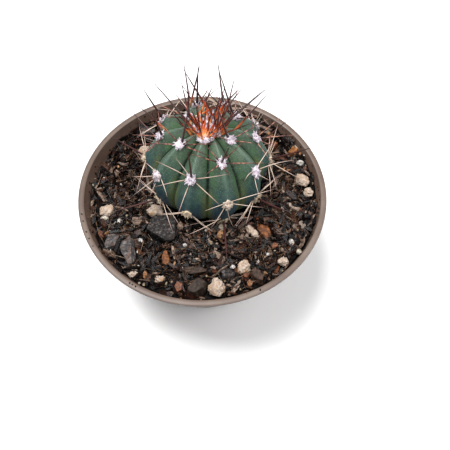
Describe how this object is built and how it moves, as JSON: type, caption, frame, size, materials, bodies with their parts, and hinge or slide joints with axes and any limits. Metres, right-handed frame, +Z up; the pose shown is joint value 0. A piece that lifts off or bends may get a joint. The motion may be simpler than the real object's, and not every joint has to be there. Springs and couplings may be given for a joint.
{
  "type": "potted melocactus azureus",
  "caption": "Young blue-green melocactus with sharp ribs, woolly areoles and long spines, in a low, thin, tapered plastic pot of gritty bark soil.",
  "frame": {"origin": "centre of the pot's base, on the surface it stands on", "axes": "+Z up along the pot's axis; the side seen in the picture faces -Y"},
  "size_m": [0.09, 0.09, 0.0911],
  "materials": {
    "pot_plastic": "satin",
    "potting_mix": "matte",
    "cactus": "satin",
    "pumice": "matte",
    "bark": "matte",
    "stone": "matte"
  },
  "bodies": {
    "root": {"pot": "pot_plastic", "soil": "potting_mix", "cactus": "cactus", "pumice_1": "pumice", "pumice_2": "pumice", "pumice_3": "pumice", "pumice_4": "pumice", "pumice_5": "pumice", "pumice_6": "pumice", "pumice_7": "pumice", "pumice_8": "pumice", "pumice_9": "pumice", "pumice_10": "pumice", "pumice_11": "pumice", "bark_1": "bark", "bark_2": "bark", "bark_3": "bark", "bark_4": "bark", "bark_5": "bark", "bark_6": "bark", "bark_7": "bark", "stone_1": "stone", "stone_2": "stone", "stone_3": "stone", "stone_4": "stone", "stone_5": "stone"}
  },
  "joints": []
}
